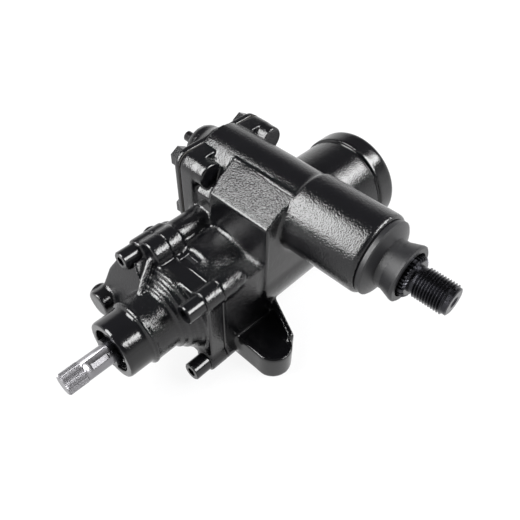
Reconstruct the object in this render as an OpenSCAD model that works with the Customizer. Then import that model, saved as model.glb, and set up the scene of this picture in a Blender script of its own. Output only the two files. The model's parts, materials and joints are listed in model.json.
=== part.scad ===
// Integral power steering gearbox: recirculating-ball worm, rack piston and sector shaft.
// Modelled about the crossing of the worm axis (along Y) and the sector shaft (along X, above it),
// then placed so that the front feet's bolt holes straddle the origin on the mounting face.

/* [Layout] */
// Height of the worm axis above the mounting face
worm_h = 54; // [53:1:64]
// Distance along the worm from the front feet to the sector shaft
foot_to_sector = 66; // [63:1:70]
// Distance between the worm axis and the sector shaft axis
centre_distance = 68; // [66:0.5:72]

/* [Gear train] */
// Module of the rack and sector teeth
tooth_module = 6; // [5.6:0.1:6.2]
// Pressure angle of the straight rack flanks
pressure_angle = 25; // [23:1:26]
// Backlash between rack and sector at the pitch line
backlash = 0.4; // [0.3:0.05:0.6]
// Width of the sector teeth along the sector shaft
sector_w = 32; // [28:1:36]
// Worm turns for one turn of the sector shaft
steer_ratio = 16; // [15:0.5:18]
// Swing of the sector shaft to each side, in degrees
sector_swing = 40; // [34:1:41]
// Diameter of the recirculating balls
ball_d = 7.14; // [6.5:0.02:7.4]
// Diameter of the circle that the ball centres run on
ball_circle_d = 25; // [24:0.5:26]

/* [Cylinder] */
// Bore of the piston cylinder
bore_d = 80; // [78:0.5:82]
// Outside of the piston cylinder
cylinder_d = 98.2; // [96:0.2:100]
// Length of the rack piston
piston_len = 118; // [112:1:120]
// Distance from the sector shaft to the outer end of the cylinder
cylinder_end = 140; // [138:1:150]
// Length of the thickened end of the cylinder
collar_len = 23; // [22:1:28]

/* [Input end] */
// Diameter of the input shaft
shaft_d = 19; // [18:0.2:20]
// Distance from the sector shaft to the tip of the input shaft
shaft_reach = 220.8; // [215:0.2:228]
// Distance from the sector shaft to the front of the nose
nose_reach = 176.4; // [174:0.2:180]
// Diameter of the nose
nose_d = 53; // [50:0.5:56]
// Distance from the sector shaft to the joint between the two housings
joint_reach = 96.5; // [95:0.5:99]
// Thickness of the valve housing flange
valve_flange_t = 15.5; // [14:0.5:18]
// Thickness of the gear housing flange
gear_flange_t = 14.5; // [13:0.5:18]
// Distance of the flange screws from the worm axis, across and up
flange_screw_offset = 39.5; // [38.5:0.5:42]

/* [Sector end] */
// Outside of the sector shaft housing
sector_housing_d = 69.8; // [66:0.2:72]
// Distance from the worm axis to the end of the sector shaft housing
sector_housing_reach = 120.6; // [118:0.2:124]
// Diameter of the sector shaft
sector_shaft_d = 35; // [33:0.5:36]
// Diameter of the pitman arm nut thread
pitman_thread_d = 26; // [24:0.5:28]
// Length of the pitman arm nut thread
pitman_thread_len = 30; // [26:1:34]
// Slope of the cast pad in front of the sector shaft, in degrees
pad_slope = 32; // [28:1:36]
// Distance from the worm axis to the side cover joint
side_joint_reach = 55; // [54:0.5:57]
// Distance between the side cover bolts along the worm
side_bolt_pitch_y = 74; // [72:1:78]
// Distance between the side cover bolts in height
side_bolt_pitch_z = 54; // [53:1:57]

/* [Feet] */
// Distance between the two front feet's bolt holes
foot_pitch = 150; // [146:1:160]
// Diameter of the tapped holes in the feet
foot_hole_d = 12; // [10:0.5:13]
// Thickness of the feet
foot_t = 26; // [24:1:28]

/* [Fits] */
// Radial clearance of parts that turn or slide in each other
running_gap = 0.06; // [0.03:0.01:0.09]
// Radial clearance of parts that are pressed or screwed together
seat_gap = 0.05; // [0.02:0.01:0.08]
// Clearance between moving parts that do not guide each other
free_gap = 0.4; // [0.3:0.05:0.6]

/* [Hidden] */
$fn = 64;

paint_black = "#1d1d20";
steel_bright = "#c9ccd0";
steel_dark = "#4a4b50";
rubber_black = "#2a2a2b";
bearing_steel = "#9a9ea3";
seal_tan = "#6b5a43";

// Gear train
circle_teeth = 12;
tooth_pitch = PI*tooth_module;
sector_pitch_r = tooth_module*circle_teeth/2;
rack_line = centre_distance - sector_pitch_r;
addendum = 0.75*tooth_module;
dedendum = 0.92*tooth_module;
sector_tip_r = sector_pitch_r + addendum;
sector_root_r = sector_pitch_r - dedendum;
base_r = sector_pitch_r*cos(pressure_angle);
worm_lead = 2*PI*sector_pitch_r/steer_ratio;
piston_travel = sector_pitch_r*sector_swing*PI/180;
ball_r = ball_d/2;
ball_circle_r = ball_circle_d/2;
groove_r = ball_r + free_gap;
worm_land_r = ball_circle_r - 0.2;
helix_angle = atan(worm_lead/(2*PI*ball_circle_r));
nut_bore_r = ball_circle_r + ball_r + free_gap;
worm_sides = 20;
slices_per_turn = 12;
circuit_turns = 2.5;
circuit_centre = -14;
guide_r = ball_r + 1;
guide_z = -nut_bore_r - 8;
clamp_w = 8;
clamp_len = 60;
clamp_t = 1.5;
clamp_pitch = 52;
clamp_screw_r = 1.5;
clamp_screw_len = 9;
clamp_head_t = 2;
piston_plug_t = 8;
piston_plug_square_r = 6.4;
piston_plug_square_depth = 5;
circuit_front = circuit_centre - worm_lead*circuit_turns/2;

// Cylinder and piston, stations along the worm from the sector shaft
bore_r = bore_d/2;
cylinder_r = cylinder_d/2;
collar_r = cylinder_r + 1.9;
worm_body_r = cylinder_r - 5;
collar_round = 6;
collar_groove_w = 2.6;
collar_groove_t = 1.5;
piston_r = bore_r - free_gap;
piston_front = -piston_len/2 + 11;
piston_back = piston_front + piston_len;
end_plug_t = 13;
end_plug_r = bore_r + 3;
end_plug_back = cylinder_end - 6;
end_ring_t = 2.5;
piston_ring_w = 5;
piston_ring_at = piston_back - 12;
piston_ring_depth = 3.5;

// Joint and valve housing, stations along the worm
joint_y = -joint_reach;
valve_flange_front = joint_y - valve_flange_t;
gear_flange_back = joint_y + gear_flange_t;
nose_front = -nose_reach;
nose_r = nose_d/2;
nose_len = 23;
nose_band_w = 3;
neck_r = nose_r + 3.2;
neck_flare_r = 13;
neck_flare_l = 17;
neck_steps = 3;
gusset_x = -22;
gusset_t = 6;
gusset_len = 28;
gusset_turn = 27;
flange_half_w = 46;
flange_half_h = 40;
screw_boss_r = 10.5;
tube = [-31, 39];
tube_r = 13.5;
tube_lug = [-26, 41];
tube_lug_r = 14.5;
screw_boss_proud = 2;
screw_r = 5;
screw_head_r = 8.3;
screw_head_h = 16;
screw_socket_af = 8;
screw_depth = 24;
gallery_boss = [-50, 24];
gallery_boss_r = 12;
gallery_len = 24;
port_boss = [-55, -10.5];
port_boss_r = 12.4;
port_boss_front = nose_front + 23.8;
port_web_front = port_boss_front + 10;
port_web_slope = 22;
port_hole_r = 7;
port_pad_r = port_hole_r + 2;
port_pad_proud = 1;
port_hole_depth = 20;
pressure_port = [port_boss[0] - port_boss_r - port_pad_proud, port_boss_front + port_pad_r + 0.6,
    port_boss[1]];
return_port = [gallery_boss[0] - gallery_boss_r - port_pad_proud, joint_y + gallery_len/2, gallery_boss[1]];

// Worm bearings and rotary valve, stations along the worm
bearing_front = nose_front + 20.4;
bearing_len = 14;
spigot_end = joint_y + 20.5;
spigot_r = bore_r - seat_gap;
spigot_ring_w = 4;
spigot_ring_y = joint_y + 6;
valve_bore_r = 22;
worm_flange_front = joint_y + 4.5;
worm_flange_t = 6;
thrust_t = 3;
thrust_in_r = 14.5;
retainer_r = 30;
retainer_t = 7;
rear_thrust_back = worm_flange_front + worm_flange_t + thrust_t;
front_thrust_front = worm_flange_front - thrust_t;
valve_front = bearing_front + bearing_len + 2;
sleeve_front = valve_front + 2;
sleeve_back = front_thrust_front - 0.5;
sleeve_r = valve_bore_r - free_gap;
spool_r = 12;
worm_head_r = 14;
worm_head_front = sleeve_back - 8;
sleeve_ring_w = 2.2;
sleeve_ring_count = 4;
worm_core_r = 11;
worm_groove_front = circuit_front - piston_travel - groove_r - 1;
worm_back = circuit_front + worm_lead*circuit_turns + piston_travel + groove_r + 1;
torsion_r = 3.5;
pin_r = 1.5;
torsion_front = nose_front + 12;
torsion_pin_y = torsion_front + 5;
sleeve_pin_y = worm_head_front + 4;
torsion_back = worm_groove_front - 4;
journal_r = 11;
needle_r = 16;
seal_front = nose_front + 10.4;
seal_len = 8;
input_seal_r = 18;
snap_t = 1.5;
shaft_r = shaft_d/2;
dust_shield_front = nose_front - 3.6;
dust_shield_wall = 3.2;
journal_front = nose_front + 2;
pinch_notch_at = -shaft_reach + 21.5;
pinch_notch_r = 4.2;
key_slot_w = 4.6;
key_slot_depth = 1.6;
pinch_turn = 45;
shank_r = shaft_r - 0.25;
serration_end = pinch_notch_at - pinch_notch_r - 0.4;

// Sector shaft, stations along X from the worm axis
sector_r = sector_shaft_d/2;
sector_housing_r = sector_housing_d/2;
inner_housing_r = sector_housing_r - 1.9;
sector_half_w = sector_w/2;
cavity_side = sector_half_w + 5;
cavity_r = sector_tip_r + 0.9;
cavity_top_r = sector_r + 9;
needle_wall = 4.5;
sector_bearing_len = 22;
inner_bearing_x = cavity_side + 3;
outer_bearing_x = sector_housing_reach - 36;
sector_seal_len = 7;
sector_seal_x = sector_housing_reach - 12.5;
sector_seal_r = sector_r + 7.5;
boot_len = 28;
spline_end = sector_housing_reach + 33;
thread_end = spline_end + 2.4 + pitman_thread_len;
thread_r = pitman_thread_d/2;

// Sector block, side flange and cover
block_half_y = 49;
block_right = 48;
pad_left = -19;
pad_proud = 0.9;
left_block_half_y = 47;
side_joint_x = -side_joint_reach;
side_flange_t = 16;
gasket_t = 0.6;
cover_t = 6.4;
cover_face_x = side_joint_x - gasket_t - cover_t;
side_bolt_r = 5;
side_boss_r = 12;
side_bolt_head_h = 8;
side_bolt_af = 16.5;
side_bolt_y = side_bolt_pitch_y/2;
side_bolt_top = centre_distance + 14;
side_bolt_zs = [side_bolt_top, side_bolt_top - side_bolt_pitch_z];
side_bolt_depth = 22;
upper_side_boss_len = side_bolt_depth + 5.5;
lower_side_boss_len = 19.5;
dome_r = norm([side_bolt_y, side_bolt_top - centre_distance]) - side_bolt_af/2 - 5;
trunnion_r = 15;
bush_wall = 3.5;
hub_len = 21.5;
hub_end_x = cover_face_x - hub_len;
hub_wall_t = 7.5;
hub_r = 21.5;
bush_len = side_joint_x - gasket_t - hub_end_x - hub_wall_t - 1;
trunnion_end_x = hub_end_x + hub_wall_t + 4;
adjuster_r = 5;
adjuster_head_r = 7.5;
adjuster_head_t = 3.5;
adjuster_pocket_r = 10;
adjuster_pocket_depth = 8;
adjuster_len = 18;
lock_nut_h = 6.5;
lock_nut_af = 17;

// Feet
foot_z = -worm_h;
foot_r = 17;
foot_x = foot_pitch/2;
foot_y = -foot_to_sector;
foot_hole_r = foot_hole_d/2;
foot_hole_depth = 20;
foot_rib_t = 6;
foot_rim_w = 2.6;
foot_pocket_t = 1.4;
rear_foot = [-46, 90];
rear_foot_r = 14;

// Moves the assembly from the axes' crossing to the mounting frame
module placed() translate([0, foot_to_sector, worm_h]) children();

// Moves a piece up to the sector shaft axis
module at_sector() translate([0, 0, centre_distance]) children();

// Round bar along Y between two stations
module bar_y(y0, y1, r) translate([0, y0, 0]) rotate([-90, 0, 0]) cylinder(h = y1 - y0, r = r);

// Round bar along X between two stations
module bar_x(x0, x1, r) translate([x0, 0, 0]) rotate([0, 90, 0]) cylinder(h = x1 - x0, r = r);

// Ring along Y
module ring_y(y0, y1, r_in, r_out) difference() {
    bar_y(y0, y1, r_out);
    bar_y(y0 - 1, y1 + 1, r_in);
}

// Ring along X
module ring_x(x0, x1, r_in, r_out) difference() {
    bar_x(x0, x1, r_out);
    bar_x(x0 - 1, x1 + 1, r_in);
}

// Outline in X and Z, thickened along Y
module plate_y(y0, y1) translate([0, y1, 0]) rotate([90, 0, 0]) linear_extrude(y1 - y0) children();

// Outline in Y and Z, thickened along X
module plate_x(x0, x1) translate([x0, 0, 0]) rotate([90, 0, 90]) linear_extrude(x1 - x0) children();

// Profile of radius and station, turned about the worm axis
module turned_y() rotate([-90, 0, 0]) rotate_extrude() children();

// Profile of radius and station, turned about the X axis
module turned_x() rotate([0, 90, 0]) rotate_extrude() children();

// Points of a quarter arc about c, from one angle to another
function arc(c, r, from, to, steps = 6) =
    [for (i = [0:steps]) let (a = from + (to - from)*i/steps) c + r*[cos(a), sin(a)]];

// The four flange screw places
module at_flange_screws() for (sx = [-1, 1], sz = [-1, 1])
    translate([sx*flange_screw_offset, 0, sz*flange_screw_offset]) children();

// The four side cover bolt places
module at_side_bolts() for (sy = [-1, 1], z = side_bolt_zs)
    translate([0, sy*side_bolt_y, z]) children();

// Pad for a hose port that opens on the far side
module port_pad(mouth) translate([0, mouth[1], mouth[2]]) bar_x(mouth[0], mouth[0] + port_pad_r, port_pad_r);

// Tapped hole of a hose port
module port_hole(mouth) translate([0, mouth[1], mouth[2]])
    bar_x(mouth[0] - 1, mouth[0] + port_hole_depth, port_hole_r);

// Flange outline: a flat-sided body with a boss at each screw
module flange_outline() {
    square([2*flange_half_w, 2*flange_half_h], center = true);
    for (sx = [-1, 1], sz = [-1, 1])
        translate([sx, sz]*flange_screw_offset) circle(r = screw_boss_r);
    translate(tube_lug) circle(r = tube_lug_r);
}

// Side flange outline: a rectangle with its corners rounded about the bolts
module side_outline() {
    z_mid = (side_bolt_zs[0] + side_bolt_zs[1])/2;
    translate([0, z_mid]) square([2*(side_bolt_y + side_boss_r), side_bolt_pitch_z], center = true);
    translate([0, z_mid]) square([2*side_bolt_y, side_bolt_pitch_z + 2*side_boss_r], center = true);
    for (sy = [-1, 1], z = side_bolt_zs) translate([sy*side_bolt_y, z]) circle(r = side_boss_r);
}

// Space swept by the sector teeth below the shaft and by the shaft above
module cavity_outline() translate([0, centre_distance]) {
    circle(r = cavity_top_r);
    intersection() {
        circle(r = cavity_r);
        translate([-cavity_r, -2*cavity_r]) square(2*cavity_r);
    }
}

// Block behind the pad: upright front and back, the pad's slope tangent to the sector housing
module pad_block_outline() {
    touch = (inner_housing_r + pad_proud)*[-sin(pad_slope), cos(pad_slope)] + [0, centre_distance];
    lip_z = touch[1] - (block_half_y + touch[0])*tan(pad_slope);
    polygon([
        [-block_half_y, 0], [-block_half_y, lip_z], touch, [0, centre_distance],
        [block_half_y - 14, centre_distance + 10], [block_half_y, centre_distance - 6], [block_half_y, 0]
    ]);
}

// Lower block beside the side flange, behind the recess left of the pad
module left_block_outline() polygon([
    [-left_block_half_y, 0], [-left_block_half_y, centre_distance - 2],
    [-left_block_half_y + 8, centre_distance + 6], [left_block_half_y - 8, centre_distance + 6],
    [left_block_half_y, centre_distance - 2], [left_block_half_y, 0]
]);

// Piston cylinder: plain, then a groove and the thickened end with its rounded rim
module cylinder_profile() {
    start = cylinder_end - collar_len;
    polygon(concat(
        [[0, -block_half_y], [cylinder_r, -block_half_y], [cylinder_r, start - collar_groove_w],
         [cylinder_r - collar_groove_t, start - collar_groove_w], [cylinder_r - collar_groove_t, start],
         [collar_r, start]],
        arc([collar_r - collar_round, cylinder_end - collar_round], collar_round, 0, 90),
        [[0, cylinder_end]]
    ));
}

// Bearing housing of the sector shaft: slimmer beside the block, chamfered at its end
module sector_housing_profile() {
    step = block_right + 1.2;
    polygon([[0, side_joint_x], [inner_housing_r, side_joint_x], [inner_housing_r, step - 1],
        [sector_housing_r, step], [sector_housing_r, sector_housing_reach - 1.5],
        [sector_housing_r - 1.5, sector_housing_reach], [0, sector_housing_reach]]);
}

// Boss along Y with a domed back end
module domed_boss(y0, y1, r) turned_y() polygon(concat([[0, y0], [r, y0]], arc([0, y1], r, 0, 90)));

// Mounting foot with a round end, a sloped back edge and a rib along that edge
module front_foot() {
    edge_out = [foot_x + 7, foot_y + foot_r - 1.5];
    edge_in = [31, foot_y + 36];
    run = norm(edge_in - edge_out);
    lean = atan2(edge_in[1] - edge_out[1], edge_in[0] - edge_out[0]);
    pocket_r = foot_r - foot_rim_w;
    inward = [-foot_rim_w, -foot_rim_w/2];
    difference() {
        translate([0, 0, foot_z]) linear_extrude(foot_t) {
            translate([foot_x, foot_y]) circle(r = foot_r);
            polygon([[30, foot_y - foot_r + 0.4], [foot_x, foot_y - foot_r + 0.4], edge_out, edge_in]);
        }
        translate([0, 0, foot_z + foot_t - foot_pocket_t]) linear_extrude(foot_pocket_t + 1) {
            translate([foot_x, foot_y]) circle(r = pocket_r);
            polygon([[30, foot_y - pocket_r + 0.4], [foot_x, foot_y - pocket_r + 0.4], edge_out + inward,
                edge_in + inward]);
        }
    }
    translate([edge_out[0], edge_out[1], foot_z]) rotate([90, 0, lean])
        translate([0, 0, -foot_rib_t/2]) linear_extrude(foot_rib_t)
            polygon([[0, 1], [run, 1], [run, worm_h - 12], [0, foot_t + 4]]);
}

// Rear mounting boss under the far side of the cylinder
module rear_foot_boss() translate([rear_foot[0], rear_foot[1], foot_z])
    cylinder(h = worm_h - 24, r = rear_foot_r);

// Tapped holes that open on the mounting face
module foot_holes() {
    for (p = [[-foot_x, foot_y], [foot_x, foot_y], rear_foot])
        translate([p[0], p[1], foot_z - 1]) cylinder(h = foot_hole_depth + 1, r = foot_hole_r);
}

// Outer form of the main casting
module gear_housing_body() {
    plate_y(joint_y, gear_flange_back) flange_outline();
    plate_y(gear_flange_back - 1, -block_half_y + 10)
        square([2*flange_half_w, 2*flange_half_h - 8], center = true);
    bar_y(gear_flange_back - 1, -block_half_y + 1, worm_body_r);
    turned_y() cylinder_profile();
    // Screw bosses behind the flange, and the oil tube that runs on to the pad block
    translate([flange_screw_offset, 0, flange_screw_offset])
        domed_boss(gear_flange_back - 1, gear_flange_back + 6, screw_boss_r - 1);
    translate([tube[0], 0, tube[1]]) bar_y(gear_flange_back - 1, -28, tube_r);
    for (sx = [-1, 1]) translate([sx*flange_screw_offset, 0, -flange_screw_offset])
        domed_boss(gear_flange_back - 1, gear_flange_back + 12, screw_boss_r - 1);
    // Gallery boss on the far side of the flange
    translate([gallery_boss[0], 0, gallery_boss[1]])
        domed_boss(joint_y, joint_y + gallery_len, gallery_boss_r);
    port_pad(return_port);
    // Sector block, pad, side flange and bearing housing
    plate_x(pad_left, block_right) pad_block_outline();
    plate_x(side_joint_x, pad_left + 1) left_block_outline();
    plate_x(side_joint_x, side_joint_x + side_flange_t) side_outline();
    for (sy = [-1, 1]) translate([0, sy*side_bolt_y, 0]) {
        translate([0, 0, side_bolt_zs[0]])
            bar_x(side_joint_x + 1, side_joint_x + upper_side_boss_len, side_boss_r - 0.5);
        translate([0, 0, side_bolt_zs[1]])
            bar_x(side_joint_x + 1, side_joint_x + lower_side_boss_len, side_boss_r - 0.5);
    }
    at_sector() turned_x() sector_housing_profile();
    front_foot();
    mirror([1, 0, 0]) front_foot();
    rear_foot_boss();
}

module gear_housing() color(paint_black) placed() difference() {
    gear_housing_body();
    bar_y(joint_y - 1, cylinder_end + 1, bore_r);
    bar_y(end_plug_back - end_plug_t, cylinder_end + 1, end_plug_r + seat_gap);
    bar_y(end_plug_back, end_plug_back + end_ring_t, end_plug_r + 2.5 + seat_gap);
    plate_x(side_joint_x - 1, cavity_side) cavity_outline();
    at_sector() {
        bar_x(cavity_side - 1, sector_housing_reach + 1, sector_r + running_gap + needle_wall + seat_gap);
        bar_x(sector_seal_x, sector_housing_reach + 1, sector_seal_r + seat_gap);
        bar_x(sector_seal_x + sector_seal_len, sector_seal_x + sector_seal_len + snap_t, sector_seal_r + 1.5);
    }
    at_flange_screws() bar_y(joint_y - 1, joint_y + screw_depth + 1, screw_r + seat_gap);
    at_side_bolts() bar_x(side_joint_x - 1, side_joint_x + side_bolt_depth + 1, side_bolt_r + seat_gap);
    foot_holes();
    port_hole(return_port);
}

// Turned outline of the valve housing: nose, band, neck and the flare into the flange
module neck_profile() {
    band = nose_front + nose_len;
    polygon(concat(
        [[0, nose_front], [nose_r - 1, nose_front], [nose_r, nose_front + 1], [nose_r, band],
         [neck_r, band], [neck_r, band + nose_band_w], [neck_r - 1.2, band + nose_band_w + 1]],
        [for (i = [0:neck_steps - 1], p = [[0, 0], [0.8, 0.4], [0.8, 0.9]])
            [neck_r - 1.2 + (i + p[0])*neck_flare_r/neck_steps,
             valve_flange_front - neck_flare_l*(1 - (i + p[1])/neck_steps)]],
        [[neck_r - 1.2 + neck_flare_r, valve_flange_front + 1], [0, valve_flange_front + 1]]
    ));
}

// Web of the port boss, joined to the neck and sloping back to the upper screw boss
module port_web() difference() {
    plate_y(port_web_front, valve_flange_front + 1) {
        translate(port_boss + [2, 1]) circle(r = port_boss_r - 3);
        polygon([port_boss + [-port_boss_r + 4, 4], [-flange_screw_offset - 19, flange_screw_offset - 21],
            [-flange_screw_offset - 9, flange_screw_offset - 3],
            [-flange_screw_offset + 6, flange_screw_offset + 4], [-10, 22], [-10, -18],
            port_boss + [0, -port_boss_r + 3]]);
    }
    translate([0, port_web_front, port_boss[1] + 4]) rotate([-port_web_slope, 0, 0])
        translate([-100, -60, 0]) cube([200, 60, 100]);
}

// Gusset from the flange down to the neck
module neck_gusset() translate([gusset_x, valve_flange_front, 0]) rotate([0, 0, gusset_turn])
    plate_x(-gusset_t/2, gusset_t/2) polygon([
        [1, flange_half_h + 4], [-3, flange_half_h + 4], [-gusset_len, neck_r - 3], [-gusset_len, 10], [1, 10]
    ]);

module valve_housing_body() {
    plate_y(valve_flange_front, joint_y) flange_outline();
    at_flange_screws() bar_y(valve_flange_front - screw_boss_proud, joint_y, screw_boss_r);
    bar_y(joint_y - 1, spigot_end, spigot_r);
    turned_y() neck_profile();
    port_web();
    translate([port_boss[0], 0, port_boss[1]]) bar_y(port_boss_front, port_web_front + 7, port_boss_r);
    neck_gusset();
    port_pad(pressure_port);
}

module valve_housing() color(paint_black) placed() difference() {
    valve_housing_body();
    at_flange_screws() bar_y(valve_flange_front - 20, joint_y + 1, screw_r + 0.5);
    at_flange_screws()
        bar_y(valve_flange_front - 40, valve_flange_front - screw_boss_proud, screw_head_r + 0.6);
    bar_y(valve_front, spigot_end + 1, valve_bore_r);
    bar_y(rear_thrust_back, spigot_end + 1, retainer_r);
    bar_y(nose_front - 1, valve_front + 1, journal_r + 1.5);
    bar_y(bearing_front, bearing_front + bearing_len, needle_r);
    bar_y(nose_front - 1, seal_front + seal_len, input_seal_r);
    bar_y(seal_front - snap_t, seal_front, input_seal_r + 1.5);
    bar_y(nose_front - 1, seal_front - snap_t - 1.5, input_seal_r + 2);
    ring_y(spigot_ring_y, spigot_ring_y + spigot_ring_w, spigot_r - 2.5, spigot_r + 5);
    port_hole(pressure_port);
}

module valve_housing_screws() color(paint_black) placed() at_flange_screws() {
    seat = valve_flange_front - screw_boss_proud;
    difference() {
        union() {
            turned_y() polygon([[0, seat - screw_head_h], [screw_head_r - 0.8, seat - screw_head_h],
                [screw_head_r, seat - screw_head_h + 0.8], [screw_head_r, seat], [0, seat]]);
            bar_y(seat - 1, joint_y + screw_depth, screw_r);
        }
        translate([0, seat - screw_head_h - 1, 0]) rotate([-90, 0, 0])
            cylinder(h = 8, r = screw_socket_af/sqrt(3), $fn = 6);
    }
}

module valve_housing_seal() color(rubber_black) placed()
    ring_y(spigot_ring_y + free_gap, spigot_ring_y + spigot_ring_w - free_gap, spigot_r - 2.4, spigot_r);

// Side cover: flange, stepped dome and hub
module side_cover() color(paint_black) placed() difference() {
    union() {
        plate_x(cover_face_x, side_joint_x - gasket_t) side_outline();
        at_sector() turned_x() polygon([
            [0, cover_face_x + 2], [dome_r, cover_face_x + 2], [dome_r, cover_face_x - 1],
            [dome_r - 3, cover_face_x - 6], [hub_r, cover_face_x - 9], [hub_r, hub_end_x + 6],
            [hub_r - 2, hub_end_x + 1.5], [hub_r - 6, hub_end_x], [0, hub_end_x]
        ]);
    }
    at_sector() {
        bar_x(hub_end_x + hub_wall_t, side_joint_x, trunnion_r + running_gap + bush_wall + seat_gap);
        bar_x(hub_end_x - 1, side_joint_x, adjuster_r + seat_gap);
    }
    at_side_bolts() bar_x(cover_face_x - 1, side_joint_x, side_bolt_r + 0.5);
}

module side_cover_gasket() color(seal_tan) placed() difference() {
    plate_x(side_joint_x - gasket_t, side_joint_x) side_outline();
    plate_x(side_joint_x - 2, side_joint_x + 1) cavity_outline();
    at_side_bolts() bar_x(side_joint_x - 2, side_joint_x + 1, side_bolt_r + 0.5);
}

module side_cover_bolts() color(paint_black) placed() at_side_bolts() {
    translate([cover_face_x - side_bolt_head_h, 0, 0]) rotate([0, 90, 0])
        cylinder(h = side_bolt_head_h - 1, r = side_bolt_af/sqrt(3), $fn = 6);
    bar_x(cover_face_x - 1.2, cover_face_x, side_bolt_af/2 + 1);
    bar_x(cover_face_x - 0.5, side_joint_x + side_bolt_depth, side_bolt_r);
}

module side_cover_bush() color("#b08d4f") placed() at_sector()
    ring_x(hub_end_x + hub_wall_t, hub_end_x + hub_wall_t + bush_len,
           trunnion_r + running_gap, trunnion_r + running_gap + bush_wall);

module lash_adjuster_screw() color(steel_dark) placed() at_sector() difference() {
    union() {
        head_x = trunnion_end_x + adjuster_pocket_depth - 0.3;
        bar_x(head_x - adjuster_head_t, head_x, adjuster_head_r);
        bar_x(hub_end_x - adjuster_len, head_x - adjuster_head_t + 0.5, adjuster_r);
    }
    translate([hub_end_x - adjuster_len - 1, 0, 0]) rotate([0, 90, 0]) cylinder(h = 6, r = 2.9, $fn = 6);
}

module adjuster_lock_nut() color(steel_dark) placed() at_sector() difference() {
    translate([hub_end_x - lock_nut_h, 0, 0]) rotate([0, 90, 0])
        cylinder(h = lock_nut_h, r = lock_nut_af/sqrt(3), $fn = 6);
    bar_x(hub_end_x - lock_nut_h - 1, hub_end_x + 1, adjuster_r + seat_gap);
}

module end_plug() color(steel_dark) placed() difference() {
    bar_y(end_plug_back - end_plug_t, end_plug_back, end_plug_r);
    bar_y(end_plug_back - 5, end_plug_back + 1, end_plug_r - 12);
    ring_y(end_plug_back - 9, end_plug_back - 5, end_plug_r - 2.5, end_plug_r + 1);
}

module end_plug_seal() color(rubber_black) placed()
    ring_y(end_plug_back - 8.7, end_plug_back - 5.3, end_plug_r - 2.4, end_plug_r);

module end_plug_retaining_ring() color(steel_bright) placed()
    ring_y(end_plug_back, end_plug_back + end_ring_t - 0.2, end_plug_r - 3, end_plug_r + 2.5);

// Needle bearing cup on the sector shaft
module sector_bearing(x) at_sector()
    ring_x(x, x + sector_bearing_len, sector_r + running_gap, sector_r + running_gap + needle_wall);

module sector_inner_bearing() color(bearing_steel) placed() sector_bearing(inner_bearing_x);

module sector_outer_bearing() color(bearing_steel) placed() sector_bearing(outer_bearing_x);

module sector_shaft_seal() color(rubber_black) placed() at_sector()
    ring_x(sector_seal_x + 0.2, sector_seal_x + sector_seal_len - 0.2, sector_r + running_gap, sector_seal_r);

module sector_seal_snap_ring() color(steel_dark) placed() at_sector()
    ring_x(sector_seal_x + sector_seal_len, sector_seal_x + sector_seal_len + snap_t - 0.1,
           sector_seal_r - 3, sector_seal_r + 1.4);

// Dust boot: base flange on the housing end, waist and flared lip on the shaft
module sector_dust_boot() color(rubber_black) placed() at_sector()
    translate([sector_housing_reach, 0, 0]) turned_x() polygon([
        [sector_seal_r - 1, 0], [sector_seal_r - 1, 5], [sector_r + running_gap, 11],
        [sector_r + running_gap, boot_len - 6], [sector_r + 1.6, boot_len], [sector_r + 5.4, boot_len],
        [sector_r + 6.6, boot_len - 1], [sector_r + 6.6, boot_len - 2.5], [sector_r + 3.2, boot_len - 13],
        [sector_r + 3.4, 9.5], [sector_housing_r - 4, 5.5], [sector_housing_r - 2.6, 4.5],
        [sector_housing_r - 2.6, 1.2], [sector_housing_r - 3.4, 0]
    ]);

module input_needle_bearing() color(bearing_steel) placed()
    ring_y(bearing_front, bearing_front + bearing_len, journal_r + running_gap, needle_r - seat_gap);

module input_shaft_seal() color(rubber_black) placed()
    ring_y(seal_front + 0.1, seal_front + seal_len, journal_r + running_gap, input_seal_r - seat_gap);

module input_seal_snap_ring() color(steel_bright) placed()
    ring_y(seal_front - snap_t + 0.1, seal_front, journal_r + 3, input_seal_r + 1.4);

// Thrust bearing between the worm flange and its seat
module thrust_bearing(y) ring_y(y + running_gap, y + thrust_t - running_gap, thrust_in_r, valve_bore_r - 1);

module worm_front_thrust_bearing() color(bearing_steel) placed() thrust_bearing(front_thrust_front);

module worm_rear_thrust_bearing() color(bearing_steel) placed() thrust_bearing(rear_thrust_back - thrust_t);

module worm_bearing_retainer() color(steel_dark) placed()
    ring_y(rear_thrust_back, rear_thrust_back + retainer_t, thrust_in_r, retainer_r - seat_gap);

// Radius of the worm's cross-section: the groove's depth follows the ball's circle along the lead
function worm_radius(a) =
    let (s = worm_lead*min(a, 360 - a)/360*cos(helix_angle))
    s < groove_r ? min(worm_land_r, ball_circle_r - sqrt(groove_r*groove_r - s*s)) : worm_land_r;

module worm_groove_outline() polygon([for (i = [0:worm_sides - 1]) let (a = 360*i/worm_sides)
    worm_radius(a)*[cos(a), sin(a)]]);

module worm_shaft() color(steel_bright) placed() {
    groove_len = worm_back - worm_groove_front;
    translate([0, worm_groove_front, 0]) rotate([-90, 0, 0])
        linear_extrude(groove_len, $fn = worm_sides, twist = -360*groove_len/worm_lead,
                       slices = ceil(slices_per_turn*groove_len/worm_lead))
            rotate(360*(worm_groove_front - circuit_front)/worm_lead) worm_groove_outline();
    difference() {
        union() {
            bar_y(worm_flange_front + 1, worm_groove_front, worm_core_r);
            bar_y(worm_flange_front, worm_flange_front + worm_flange_t, valve_bore_r - 1);
            bar_y(worm_head_front, worm_flange_front + 1, worm_head_r);
        }
        bar_y(worm_head_front - 1, torsion_back + 1, torsion_r + running_gap);
        translate([0, sleeve_pin_y, 0]) bar_x(-worm_head_r - 1, -worm_head_r + 5, pin_r + seat_gap);
    }
}

// Station of a ring on the valve sleeve
function sleeve_ring_y(i) = sleeve_front + 2 + i*(worm_head_front - sleeve_front - 6)/(sleeve_ring_count - 1);

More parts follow.
